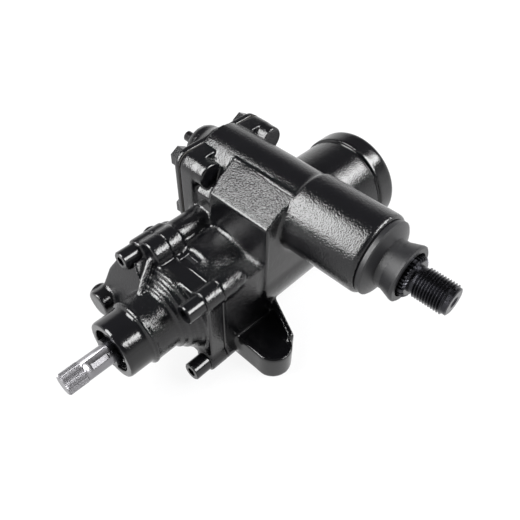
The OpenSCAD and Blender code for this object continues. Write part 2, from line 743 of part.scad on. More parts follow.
module valve_sleeve() color(bearing_steel) placed() difference() {
    bar_y(sleeve_front, sleeve_back, sleeve_r);
    bar_y(sleeve_front - 1, worm_head_front - 1, spool_r + running_gap);
    bar_y(worm_head_front - 2, sleeve_back + 1, worm_head_r + seat_gap);
    for (i = [0:sleeve_ring_count - 1]) translate([0, sleeve_ring_y(i), 0])
        ring_y(-0.1, sleeve_ring_w + 0.1, sleeve_r - 2, sleeve_r + 1);
    translate([0, sleeve_pin_y, 0]) bar_x(-sleeve_r - 1, -worm_head_r + 1, pin_r + seat_gap);
}

module valve_sleeve_rings() color(seal_tan) placed() for (i = [0:sleeve_ring_count - 1])
    translate([0, sleeve_ring_y(i), 0])
        ring_y(0, sleeve_ring_w, sleeve_r - 2 + seat_gap, valve_bore_r - running_gap);

module valve_sleeve_pin() color(steel_bright) placed() translate([0, sleeve_pin_y, 0])
    bar_x(-sleeve_r + 0.2, -worm_head_r + 4.8, pin_r);

// Input shaft: spool, journal and the clamped end with its pinch-bolt notch and flat
module input_shaft() color(steel_bright) placed() difference() {
    union() {
        bar_y(bearing_front + bearing_len + 1, worm_head_front - 1.4, spool_r);
        bar_y(journal_front, bearing_front + bearing_len + 2, journal_r);
        turned_y() polygon([[0, -shaft_reach], [shaft_r - 1, -shaft_reach], [shaft_r, -shaft_reach + 1],
            [shaft_r, serration_end], [shank_r, serration_end], [shank_r, journal_front + 1],
            [0, journal_front + 1]]);
    }
    bar_y(torsion_front - 1, worm_head_front, torsion_r + 0.5);
    rotate([0, -pinch_turn, 0]) {
        translate([shaft_r + 1.6, pinch_notch_at, -2*shaft_r]) cylinder(h = 4*shaft_r, r = pinch_notch_r);
        translate([shank_r - key_slot_depth, pinch_notch_at, -key_slot_w/2])
            cube([shaft_r, dust_shield_front - 2 - pinch_notch_at, key_slot_w]);
    }
    translate([0, torsion_pin_y, 0]) bar_x(-journal_r - 1, journal_r + 1, pin_r + seat_gap);
}

module input_dust_shield() color(steel_dark) placed()
    ring_y(dust_shield_front, journal_front, shank_r + seat_gap, shaft_r + dust_shield_wall);

module torsion_bar() color(steel_bright) placed() difference() {
    union() {
        bar_y(torsion_front, torsion_front + 14, torsion_r + 0.45);
        bar_y(torsion_front, torsion_back, torsion_r - 0.8);
        bar_y(torsion_back - 14, torsion_back, torsion_r);
    }
    translate([0, torsion_pin_y, 0]) bar_x(-journal_r, journal_r, pin_r + seat_gap);
}

module torsion_bar_pin() color(steel_dark) placed() translate([0, torsion_pin_y, 0])
    bar_x(-journal_r + 0.1, journal_r - 0.1, pin_r);

// Straight-sided gaps of the rack, as an outline in Y and Z
module rack_gap_outline(y) {
    half = tooth_pitch/4 + backlash/2;
    lean = tan(pressure_angle);
    translate([y, rack_line]) polygon([
        [-half + dedendum*lean, -dedendum], [half - dedendum*lean, -dedendum],
        [half + 2*addendum*lean, 2*addendum], [-half - 2*addendum*lean, 2*addendum]
    ]);
}

// Place of a ball on the helix, at a turn counted from the start of the circuit
function ball_at(turn) = [ball_circle_r*cos(360*turn), circuit_front + worm_lead*turn,
    -ball_circle_r*sin(360*turn)];

module rack_piston() color(steel_dark) placed() difference() {
    bar_y(piston_front, piston_back, piston_r);
    bar_y(piston_front - 1, piston_back + 1, nut_bore_r);
    // Rack: tips cut flat, then the gaps
    translate([-bore_r, -2*tooth_pitch, rack_line + addendum]) cube([2*bore_r, 4*tooth_pitch, bore_r]);
    plate_x(-bore_r, bore_r) for (i = [-1:1]) rack_gap_outline(i*tooth_pitch);
    // Flat for the ball guide on the side away from the teeth, with the holes that its legs enter
    translate([-2*clamp_w - 2, circuit_centre - clamp_len/2 - 2, -bore_r - 1])
        cube([4*clamp_w + 4, clamp_len + 4, bore_r + 1 + guide_z]);
    for (t = [0, circuit_turns]) translate([ball_at(t)[0], ball_at(t)[1], guide_z - 1])
        cylinder(h = -guide_z, r = guide_r + seat_gap);
    ring_y(piston_ring_at, piston_ring_at + piston_ring_w, piston_r - piston_ring_depth, piston_r + 1);
    for (sy = [-1, 1]) translate([0, circuit_centre + sy*clamp_pitch/2, guide_z - 1])
        cylinder(h = clamp_screw_len, r = clamp_screw_r + seat_gap);
}

module piston_ring() color(seal_tan) placed()
    ring_y(piston_ring_at + 0.1, piston_ring_at + piston_ring_w - 0.1,
           piston_r - piston_ring_depth + seat_gap, bore_r - running_gap);

module recirculating_balls() color(steel_bright) placed() {
    turn_len = sqrt(pow(2*PI*ball_circle_r, 2) + worm_lead*worm_lead);
    count = floor(circuit_turns*turn_len/(ball_d + 0.5));
    for (i = [0:count - 1]) translate(ball_at(circuit_turns*i/(count - 1))) sphere(r = ball_r);
}

// Return guide: two legs and a bridge across the piston
module ball_return_guide() color(steel_bright) placed() {
    ends = [for (t = [0, circuit_turns]) ball_at(t)];
    span = ends[1] - ends[0];
    for (p = ends) translate([p[0], p[1], guide_z - 2*guide_r])
        cylinder(h = 2*guide_r + 7, r = guide_r);
    translate([ends[0][0], ends[0][1], guide_z - guide_r - seat_gap])
        rotate([90, 0, atan2(span[1], span[0]) + 90])
            cylinder(h = norm([span[0], span[1]]), r = guide_r - 0.5);
}

module ball_guide_clamp() color(steel_dark) placed()
    translate([-clamp_w/2, circuit_centre - clamp_len/2, guide_z - 2*guide_r - seat_gap - clamp_t])
        cube([clamp_w, clamp_len, clamp_t]);

module ball_clamp_screws() color(steel_dark) placed() for (sy = [-1, 1])
    translate([0, circuit_centre + sy*clamp_pitch/2, guide_z - clamp_head_t]) {
        cylinder(h = clamp_screw_len, r = clamp_screw_r);
        cylinder(h = clamp_head_t, r = 2*clamp_screw_r);
    }

module piston_end_plug() color(steel_dark) placed() difference() {
    bar_y(piston_back - piston_plug_t, piston_back, nut_bore_r - seat_gap);
    translate([0, piston_back - piston_plug_square_depth, 0]) rotate([-90, 0, 0])
        cylinder(h = piston_plug_square_depth + 1, r = piston_plug_square_r, $fn = 4);
}

// Half angle of a sector tooth at a radius, from the involute
function involute(a) = tan(a) - a*PI/180;
function tooth_half_angle(r) = 90/circle_teeth - backlash/2/sector_pitch_r*180/PI
    + (involute(pressure_angle) - involute(acos(min(1, base_r/r))))*180/PI;

// One sector tooth pointing down, as an outline in Y and Z about the sector shaft
module sector_tooth() {
    low = max(base_r, sector_root_r) + 0.01;
    radii = [for (i = [0:7]) low + (sector_tip_r - low)*i/7];
    half = [for (r = radii) r*[sin(tooth_half_angle(r)), -cos(tooth_half_angle(r))]];
    foot = (sector_root_r - 1)*[sin(tooth_half_angle(low)), -cos(tooth_half_angle(low))];
    polygon(concat([foot], half, [for (i = [7:-1:0]) [-half[i][0], half[i][1]]], [[-foot[0], foot[1]]]));
}

// Sector blank: a fan from the shaft out to the tooth roots
module sector_blank() intersection() {
    circle(r = sector_root_r);
    fan = 360/circle_teeth + tooth_half_angle(sector_pitch_r) + 3;
    polygon([[0, 12], 60*[sin(fan), -cos(fan)], [0, -60], 60*[-sin(fan), -cos(fan)]]);
}

module sector_shaft() color(steel_dark) placed() at_sector() difference() {
    union() {
        plate_x(-sector_half_w, sector_half_w) {
            sector_blank();
            for (i = [-1:1]) rotate(i*360/circle_teeth) sector_tooth();
        }
        bar_x(trunnion_end_x, -sector_half_w + 1, trunnion_r);
        bar_x(-sector_half_w - 4, sector_half_w + 2, sector_r + 2.5);
        turned_x() polygon([[0, sector_half_w], [sector_r, sector_half_w], [sector_r, spline_end - 1.5],
            [sector_r - 1.5, spline_end], [thread_r - 1.5, spline_end], [thread_r - 1.5, spline_end + 2.4],
            [thread_r, spline_end + 2.4], [thread_r, thread_end - 1.5], [thread_r - 1.5, thread_end],
            [0, thread_end]]);
    }
    bar_x(trunnion_end_x - 1, trunnion_end_x + adjuster_pocket_depth, adjuster_pocket_r);
}

module adjuster_retainer() color(steel_bright) placed() at_sector()
    ring_x(trunnion_end_x, trunnion_end_x + adjuster_pocket_depth - adjuster_head_t - 0.6,
           adjuster_r + free_gap, adjuster_pocket_r - seat_gap);

gear_housing();
valve_housing();
valve_housing_screws();
valve_housing_seal();
side_cover();
side_cover_gasket();
side_cover_bolts();
side_cover_bush();
lash_adjuster_screw();
adjuster_lock_nut();
end_plug();
end_plug_seal();
end_plug_retaining_ring();
sector_inner_bearing();
sector_outer_bearing();
sector_shaft_seal();
sector_seal_snap_ring();
sector_dust_boot();
input_needle_bearing();
input_shaft_seal();
input_seal_snap_ring();
worm_front_thrust_bearing();
worm_rear_thrust_bearing();
worm_bearing_retainer();
worm_shaft();
valve_sleeve();
valve_sleeve_rings();
valve_sleeve_pin();
input_shaft();
input_dust_shield();
torsion_bar();
torsion_bar_pin();
rack_piston();
piston_ring();
recirculating_balls();
ball_return_guide();
ball_guide_clamp();
ball_clamp_screws();
piston_end_plug();
sector_shaft();
adjuster_retainer();
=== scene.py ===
"""Studio scene of a power steering gearbox.

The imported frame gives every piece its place. The castings get skins with cast fillets and sand grain, the
shaft ends get their serrations and thread, and every surface gets a finish named for the real material.
"""

import json
import logging
import math
from dataclasses import dataclass, field
from enum import Enum, IntEnum
from typing import Any, Iterable

import bmesh
import bpy
import numpy as np
from mathutils import Matrix, Vector


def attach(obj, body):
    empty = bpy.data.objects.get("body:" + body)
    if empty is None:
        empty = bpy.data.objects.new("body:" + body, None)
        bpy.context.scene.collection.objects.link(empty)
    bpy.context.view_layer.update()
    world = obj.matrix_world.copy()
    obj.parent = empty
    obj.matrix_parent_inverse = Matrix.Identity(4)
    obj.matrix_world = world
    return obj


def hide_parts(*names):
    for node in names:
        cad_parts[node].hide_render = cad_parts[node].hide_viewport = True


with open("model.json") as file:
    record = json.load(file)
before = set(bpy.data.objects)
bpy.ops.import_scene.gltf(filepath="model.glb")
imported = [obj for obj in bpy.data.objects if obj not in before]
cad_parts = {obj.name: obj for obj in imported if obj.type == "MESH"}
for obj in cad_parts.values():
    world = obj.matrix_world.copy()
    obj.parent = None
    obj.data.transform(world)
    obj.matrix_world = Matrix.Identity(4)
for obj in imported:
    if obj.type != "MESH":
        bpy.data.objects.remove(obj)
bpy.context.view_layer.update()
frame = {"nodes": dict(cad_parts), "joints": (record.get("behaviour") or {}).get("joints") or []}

log = logging.getLogger("steering_gearbox")

MM = 0.001
WHITE = (1.0, 1.0, 1.0, 1.0)
# Far past either end of the gearbox, in millimetres
FAR = 200.0

JOINTS = {joint["name"]: joint for joint in frame["joints"]}
WORM_AXIS = Vector(JOINTS["worm_turn"]["pos_m"])
SECTOR_AXIS = Vector(JOINTS["sector_turn"]["pos_m"])
CROSSING = Vector((0.0, SECTOR_AXIS.y, WORM_AXIS.z))


class Body(Enum):
    """Bodies of the gearbox that the modelled pieces ride on."""

    HOUSING = "housing"
    INPUT = "input"
    SECTOR = "sector"


class Axis(IntEnum):
    """Axes of the frame: X along the sector shaft, Y along the worm and Z up."""

    X = 0
    Y = 1
    Z = 2


def linear(hex_colour: str) -> tuple[float, float, float, float]:
    """Turns an sRGB hex colour into linear RGBA.

    Args:
        hex_colour: Colour such as "#1d1d20".

    Returns:
        Linear red, green, blue and full alpha.
    """
    # The curve's numbers are those of the sRGB standard
    channels = [int(hex_colour[i:i + 2], 16) / 255 for i in (1, 3, 5)]
    red, green, blue = (c / 12.92 if c <= 0.04045 else ((c + 0.055) / 1.055) ** 2.4 for c in channels)
    return red, green, blue, 1.0


def per_metre(size_mm: float) -> float:
    """Texture scale that gives features of a real size in millimetres."""
    return 1 / MM / size_mm


def add_node(tree: bpy.types.NodeTree, kind: str, inputs: dict[Any, Any] | None = None,
             **settings: Any) -> bpy.types.Node:
    """Adds one node, sets its properties and sets or links its inputs.

    Args:
        tree: Node tree that gets the node.
        kind: Blender's name of the node type.
        inputs: Input names or numbers, each with a value or an output socket to link.
        **settings: Properties of the node.

    Returns:
        The new node.
    """
    node = tree.nodes.new(kind)
    for key, value in settings.items():
        setattr(node, key, value)
    for key, value in (inputs or {}).items():
        if isinstance(value, bpy.types.NodeSocket):
            tree.links.new(value, node.inputs[key])
        else:
            node.inputs[key].default_value = value
    return node


@dataclass(frozen=True)
class Finish:
    """A surface finish, made once and shared by every piece that has it.

    Attributes:
        name: The real material and how its surface was made.
        colour: Lighter colour of the mottle, in sRGB hex.
        shade: Darker colour of the mottle, in sRGB hex.
        roughness: Mean roughness.
        roughness_spread: How far the grain moves the roughness.
        metallic: 1 for bare metal and 0 for the rest.
        mottle_mm: Size of the colour's patches.
        grain_mm: Size of the surface grain.
        relief_mm: Height of the surface grain.
        stretch: Scale of the grain along X, Y and Z.
        octaves: Layers of ever finer grain.
        mottle_octaves: Layers of ever finer patches.
        grain_falloff: Strength of each finer layer of grain against the one before.
        noise_low: Noise value that gives the lowest roughness.
        noise_high: Noise value that gives the highest roughness.
    """

    name: str
    colour: str
    shade: str
    roughness: float
    roughness_spread: float
    metallic: float
    mottle_mm: float
    grain_mm: float
    relief_mm: float
    stretch: tuple[float, float, float] = (1.0, 1.0, 1.0)
    octaves: float = 4.0
    mottle_octaves: float = 3.0
    grain_falloff: float = 0.55
    noise_low: float = 0.3
    noise_high: float = 0.7

    def material(self) -> bpy.types.Material:
        """Returns the finish's material, building it on first use."""
        found = bpy.data.materials.get(self.name)
        return found if found else self._build()

    def _build(self) -> bpy.types.Material:
        """Builds the node material: mottled colour, uneven gloss and fine relief.

        Returns:
            The new material.
        """
        material = bpy.data.materials.new(self.name)
        material.use_nodes = True
        tree = material.node_tree
        shader = tree.nodes["Principled BSDF"]
        shader.inputs["Metallic"].default_value = self.metallic
        place = add_node(tree, "ShaderNodeTexCoord")
        stretched = add_node(tree, "ShaderNodeMapping",
                             {"Vector": place.outputs["Object"], "Scale": self.stretch})
        mottle = add_node(tree, "ShaderNodeTexNoise",
                          {"Vector": place.outputs["Object"], "Scale": per_metre(self.mottle_mm),
                           "Detail": self.mottle_octaves})
        grain = add_node(tree, "ShaderNodeTexNoise",
                         {"Vector": stretched.outputs["Vector"], "Scale": per_metre(self.grain_mm),
                          "Detail": self.octaves, "Roughness": self.grain_falloff})
        self._colour(tree, shader, mottle)
        self._gloss(tree, shader, grain)
        self._relief(tree, shader, grain)
        return material

    def _colour(self, tree: bpy.types.NodeTree, shader: bpy.types.Node, mottle: bpy.types.Node) -> None:
        """Mixes the colour and its shade by the mottle.

        Args:
            tree: The material's node tree.
            shader: Its surface shader.
            mottle: Noise of the colour's patches.
        """
        # A mix of colours has its factor on socket 0, its two colours on 6 and 7 and its result on 2
        mixed = add_node(tree, "ShaderNodeMix", {0: mottle.outputs["Fac"], 6: linear(self.shade),
                                                 7: linear(self.colour)}, data_type="RGBA")
        tree.links.new(mixed.outputs[2], shader.inputs["Base Color"])

    def _gloss(self, tree: bpy.types.NodeTree, shader: bpy.types.Node, grain: bpy.types.Node) -> None:
        """Spreads the roughness about its mean by the grain.

        Args:
            tree: The material's node tree.
            shader: Its surface shader.
            grain: Noise of the surface grain.
        """
        spread = add_node(tree, "ShaderNodeMapRange",
                          {"Value": grain.outputs["Fac"], "From Min": self.noise_low,
                           "From Max": self.noise_high, "To Min": self.roughness - self.roughness_spread,
                           "To Max": self.roughness + self.roughness_spread})
        tree.links.new(spread.outputs["Result"], shader.inputs["Roughness"])

    def _relief(self, tree: bpy.types.NodeTree, shader: bpy.types.Node, grain: bpy.types.Node) -> None:
        """Raises the grain by its height.

        Args:
            tree: The material's node tree.
            shader: Its surface shader.
            grain: Noise of the surface grain.
        """
        bump = add_node(tree, "ShaderNodeBump", {"Height": grain.outputs["Fac"], "Strength": 1.0,
                                                 "Distance": self.relief_mm * MM})
        tree.links.new(bump.outputs["Normal"], shader.inputs["Normal"])


@dataclass(frozen=True)
class CastPaint(Finish):
    """Gloss black enamel on sand-cast iron.

    The enamel is thin, so the sand's grain stays in it and breaks up every highlight. The piece's own grain
    attribute says how coarse the sand is at each place, from machined faces to the rough pad.

    Attributes:
        lump_mm: Size of the slow lumps that the mould leaves.
        lump_relief_mm: Height of those lumps.
        lump_octaves: Layers of ever finer lumps.
        coarsest: Grain attribute at which the paint is dullest.
    """

    lump_mm: float = 7.0
    lump_relief_mm: float = 0.12
    lump_octaves: float = 2.0
    coarsest: float = 0.8

    def _relief(self, tree: bpy.types.NodeTree, shader: bpy.types.Node, grain: bpy.types.Node) -> None:
        """Adds the sand's grain, scaled by the grain attribute, and the mould's slow lumps.

        Args:
            tree: The material's node tree.
            shader: Its surface shader.
            grain: Noise of the sand.
        """
        amount = add_node(tree, "ShaderNodeAttribute", attribute_name=CastingSkin.GRAIN)
        place = add_node(tree, "ShaderNodeTexCoord")
        lumps = add_node(tree, "ShaderNodeTexNoise",
                         {"Vector": place.outputs["Object"], "Scale": per_metre(self.lump_mm),
                          "Detail": self.lump_octaves})
        slow = add_node(tree, "ShaderNodeBump", {"Height": lumps.outputs["Fac"], "Strength": 1.0,
                                                 "Distance": self.lump_relief_mm * MM})
        height = add_node(tree, "ShaderNodeMath", {0: grain.outputs["Fac"], 1: amount.outputs["Fac"]},
                          operation="MULTIPLY")
        sand = add_node(tree, "ShaderNodeBump", {"Height": height.outputs[0], "Strength": 1.0,
                                                 "Distance": self.relief_mm * MM,
                                                 "Normal": slow.outputs["Normal"]})
        tree.links.new(sand.outputs["Normal"], shader.inputs["Normal"])

    def _gloss(self, tree: bpy.types.NodeTree, shader: bpy.types.Node, grain: bpy.types.Node) -> None:
        """Makes coarse sand duller than machined faces.

        Args:
            tree: The material's node tree.
            shader: Its surface shader.
            grain: Noise of the sand, which leaves the gloss alone here.
        """
        amount = add_node(tree, "ShaderNodeAttribute", attribute_name=CastingSkin.GRAIN)
        dull = add_node(tree, "ShaderNodeMapRange",
                        {"Value": amount.outputs["Fac"], "From Min": 0.0, "From Max": self.coarsest,
                         "To Min": self.roughness, "To Max": self.roughness + self.roughness_spread})
        tree.links.new(dull.outputs["Result"], shader.inputs["Roughness"])


# Enamel over sand-cast iron: deep black gloss with a grainy highlight. Foundry sand is finer than this grain,
# which is drawn as coarse as it needs to show.
ENAMEL = CastPaint("black_enamel_on_sand_cast_iron", colour="#0d0d0f", shade="#08080a", roughness=0.12,
                   roughness_spread=0.1, metallic=0.0, mottle_mm=14.0, grain_mm=1.3, relief_mm=0.9,
                   octaves=1.5)
# Black enamel on forged screws: smooth, so highlights stay sharp
SCREW_ENAMEL = Finish("black_enamel_on_forged_steel", colour="#0d0d0f", shade="#08080a", roughness=0.16,
                      roughness_spread=0.05, metallic=0.0, mottle_mm=6.0, grain_mm=0.9, relief_mm=0.02)
# Moulded nitrile rubber: dark grey, matt, with a faint bloom
RUBBER = Finish("moulded_nitrile_rubber", colour="#18181a", shade="#121214", roughness=0.4,
                roughness_spread=0.08, metallic=0.0, mottle_mm=11.0, grain_mm=0.8, relief_mm=0.03)
# Ground steel shaft: bright, with marks round the shaft that are drawn coarser than real ones, to show
BRIGHT_STEEL = Finish("ground_carbon_steel", colour="#939295", shade="#7f7e81", roughness=0.34,
                      roughness_spread=0.04, metallic=1.0, mottle_mm=9.0, grain_mm=1.4, relief_mm=0.004,
                      stretch=(0.2, 3.0, 0.2))
# Phosphated steel: near-black with a metallic sheen on its edges. Its crystals are too fine to show, so the
# grain is drawn coarser.
DARK_STEEL = Finish("phosphated_alloy_steel", colour="#3e3e42", shade="#29292c", roughness=0.28,
                    roughness_spread=0.1, metallic=1.0, mottle_mm=7.0, grain_mm=0.8, relief_mm=0.03)
# Oiled machined steel of the inner pieces: light grey with a soft wet sheen. Its tool marks are drawn coarser
# than real ones, to show.
MACHINED_STEEL = Finish("oiled_machined_steel", colour="#8e9196", shade="#75787c", roughness=0.3,
                        roughness_spread=0.08, metallic=1.0, mottle_mm=12.0, grain_mm=1.2, relief_mm=0.02)
# Bronze-filled PTFE seal rings: waxy brown, with the bronze powder drawn coarser than it is, to show
FILLED_PTFE = Finish("bronze_filled_ptfe", colour="#7a5f3e", shade="#64502f", roughness=0.45,
                     roughness_spread=0.06, metallic=0.0, mottle_mm=2.0, grain_mm=0.5, relief_mm=0.02)
# Compressed fibre gasket: dull grey-brown with short fibres
GASKET = Finish("compressed_fibre_gasket", colour="#2e2b27", shade="#232120", roughness=0.75,
                roughness_spread=0.08, metallic=0.0, mottle_mm=3.0, grain_mm=0.7, relief_mm=0.05,
                stretch=(1.0, 0.3, 1.0))
# Sintered bronze bush: warm yellow-brown, slightly dull from its pores, which are drawn larger, to show
BRONZE = Finish("sintered_bronze", colour="#a9814a", shade="#8c6a3a", roughness=0.38,
                roughness_spread=0.07, metallic=1.0, mottle_mm=5.0, grain_mm=0.6, relief_mm=0.03)

SLOT_FINISHES: dict[str, Finish] = {
    "painted_casting": ENAMEL,
    "black_fastener": SCREW_ENAMEL,
    "rubber": RUBBER,
    "ground_steel": MACHINED_STEEL,
    "bright_shaft_steel": BRIGHT_STEEL,
    "dark_steel": DARK_STEEL,
    "black_sector_steel": DARK_STEEL,
    "filled_ptfe": FILLED_PTFE,
    "gasket_paper": GASKET,
    "bearing_bronze": BRONZE,
}


def new_piece(name: str, mesh: bpy.types.Mesh, body: Body, slot: str,
              replaced: Iterable[str] = ()) -> bpy.types.Object:
    """Links a finished mesh as a piece of the gearbox.

    Args:
        name: Name of the piece.
        mesh: Mesh with its place in its vertices.
        body: Body that the piece rides on.
        slot: Material slot of the record that gives its finish.
        replaced: CAD nodes that the piece stands for.

    Returns:
        The piece's object.
    """
    piece = bpy.data.objects.new(name, mesh)
    bpy.context.scene.collection.objects.link(piece)
    mesh.materials.clear()
    mesh.materials.append(SLOT_FINISHES[slot].material())
    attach(piece, body.value)
    if replaced:
        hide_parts(*replaced)
    log.info("%s: %d faces on %s", name, len(mesh.polygons), body.value)
    return piece


def merged_copy(node: str, weld_mm: float = 0.001) -> bpy.types.Mesh:
    """Copies a node's mesh and welds its loose triangles.

    Args:
        node: Name of the CAD node.
        weld_mm: Distance below which corners are the same corner.

    Returns:
        A closed copy of the node's mesh.
    """
    mesh = frame["nodes"][node].data.copy()
    work = bmesh.new()
    work.from_mesh(mesh)
    bmesh.ops.remove_doubles(work, verts=work.verts, dist=weld_mm * MM)
    work.to_mesh(mesh)
    work.free()
    return mesh


def baked(mesh: bpy.types.Mesh, *modifiers: tuple[str, dict[str, Any]]) -> bpy.types.Mesh:
    """Runs modifiers over a mesh and keeps the result.

    Args:
        mesh: Mesh to work on.
        *modifiers: Type and settings of each modifier, in order.

    Returns:
        The changed mesh.
    """
    carrier = bpy.data.objects.new("carrier", mesh)
    bpy.context.scene.collection.objects.link(carrier)
    for kind, settings in modifiers:
        modifier = carrier.modifiers.new(kind.lower(), kind)
        for key, value in settings.items():
            setattr(modifier, key, value)
    graph = bpy.context.evaluated_depsgraph_get()
    result = bpy.data.meshes.new_from_object(carrier.evaluated_get(graph))
    bpy.data.objects.remove(carrier)
    return result


@dataclass(frozen=True)
class Zone:
    """A round bar of space with a value, in millimetres from the crossing of the two shafts.

    Attributes:
        what: The feature that it takes in.
        axis: Axis that the bar runs along.
        centre: The bar's place on the other two axes.
        radius: The bar's radius.
        start: Where it begins along its axis.
        end: Where it ends along its axis.
        value: What holds inside it.
    """

    what: str
    axis: Axis
    centre: tuple[float, float]
    radius: float
    start: float
    end: float
    value: float

    def holds(self, points: np.ndarray) -> np.ndarray:
        """Tells which points lie in the zone.

        Args:
            points: Points in millimetres from the crossing.

        Returns:
            A mask over the points.
        """
        across = np.delete(points, self.axis, axis=1) - np.array(self.centre)
        along = points[:, self.axis]
        return (np.hypot(across[:, 0], across[:, 1]) < self.radius) & (along > self.start) & (along < self.end)


@dataclass
class CastingSkin:
    """A casting's skin: the node's shape with cast fillets in its hollows and sand grain on its faces.

    Hollows fill as they do in a mould, and outer edges lose only their sharpness. Bores and seats are
    machined, so zones hold them as they are.

    Attributes:
        GRAIN: Name of the mesh attribute that the paint reads.
        node: CAD node that the skin stands for.
        voxel_mm: Size of the even mesh that the node is cast into.
        machined: Zones whose value is the share of the flow that reaches them, 0 for a machined face.
        sand: Zones whose value is the coarseness of the sand.
        melted: Zones with wide fillets, which get more passes.
        plain_sand: Coarseness of the sand outside the zones.
        soften_passes: Passes that take the sharpness off every edge.
        fillet_passes: Passes that fill the hollows.
        melt_passes: Further passes in the melted zones.
        pass_share: How far a pass takes a corner towards the mean of its neighbours.
        edge_share: Share of the flow that reaches an outer edge while the hollows fill.
        most_triangles: Triangles that the skin may keep.
    """

    GRAIN = "grain"

    node: str
    voxel_mm: float
    machined: list[Zone]
    sand: list[Zone] = field(default_factory=list)
    melted: list[Zone] = field(default_factory=list)
    plain_sand: float = 0.25
    soften_passes: int = 3
    fillet_passes: int = 26
    melt_passes: int = 60
    pass_share: float = 0.5
    edge_share: float = 0.4
    most_triangles: int = 180_000

    def build(self) -> bpy.types.Object:
        """Makes the skin and lets it stand for its node.

        Returns:
            The skin's object.
        """
        mesh = baked(merged_copy(self.node), ("REMESH", {"mode": "VOXEL", "voxel_size": self.voxel_mm * MM}))
        self._flow(mesh)
        triangles = sum(len(face.vertices) - 2 for face in mesh.polygons)
        if triangles > self.most_triangles:
            mesh = baked(mesh, ("DECIMATE", {"ratio": self.most_triangles / triangles}))
        self._paint_grain(mesh)
        mesh.shade_smooth()
        return new_piece(self.node + "_skin", mesh, Body.HOUSING, "painted_casting", [self.node])

    def _flow(self, mesh: bpy.types.Mesh) -> None:
        """Softens every edge a little and fills the hollows.

        Args:
            mesh: The cast mesh, which is changed.
        """
        count = len(mesh.vertices)
        points = np.empty(count * 3)
        mesh.vertices.foreach_get("co", points)
        points = points.reshape(-1, 3)
        ends = np.empty(len(mesh.edges) * 2, dtype=np.int64)
        mesh.edges.foreach_get("vertices", ends)
        first, second = ends[0::2], ends[1::2]
        degree = np.bincount(ends, minlength=count)[:, None]
        placed = (points - np.array(CROSSING)) / MM
        free = self._zone_values(placed, self.machined, 1.0)[:, None]
        melts = self._zone_values(placed, self.melted, 0.0)[:, None]
        sharp_passes = self.soften_passes + self.fillet_passes
        for number in range(sharp_passes + (self.melt_passes if self.melted else 0)):
            total = np.empty_like(points)
            for axis in range(3):
                total[:, axis] = (np.bincount(first, points[second, axis], count)
                                  + np.bincount(second, points[first, axis], count))
            step = self.pass_share * (total / degree - points) * free
            if number >= sharp_passes:
                step = step * melts
            elif number >= self.soften_passes:
                normals = np.empty(count * 3)
                mesh.vertex_normals.foreach_get("vector", normals)
                rise = (step * normals.reshape(-1, 3)).sum(axis=1, keepdims=True)
                step = step * np.where(rise > 0, 1.0, self.edge_share)
            points = points + step
            mesh.vertices.foreach_set("co", points.ravel())
            mesh.update()

    def _paint_grain(self, mesh: bpy.types.Mesh) -> None:
        """Writes the sand's coarseness at each corner, for the paint to read.

        Args:
            mesh: The finished skin, which gets the attribute.
        """
        points = np.empty(len(mesh.vertices) * 3)
        mesh.vertices.foreach_get("co", points)
        placed = (points.reshape(-1, 3) - np.array(CROSSING)) / MM
        values = self._zone_values(placed, self.sand, self.plain_sand)
        layer = mesh.attributes.new(self.GRAIN, "FLOAT", "POINT")
        layer.data.foreach_set("value", values.astype(np.float32))

    @staticmethod
    def _zone_values(points: np.ndarray, zones: list[Zone], plain: float) -> np.ndarray:
        """Gives each point the value of the last zone that holds it.

        Args:
            points: Points in millimetres from the crossing.
            zones: Zones in rising order of precedence.
            plain: Value outside every zone.

        Returns:
            One value a point.
        """
        values = np.full(len(points), plain)
        for zone in zones:
            held = zone.holds(points)
            values[held] = zone.value
            log.debug("%s: %d corners", zone.what, held.sum())
        return values


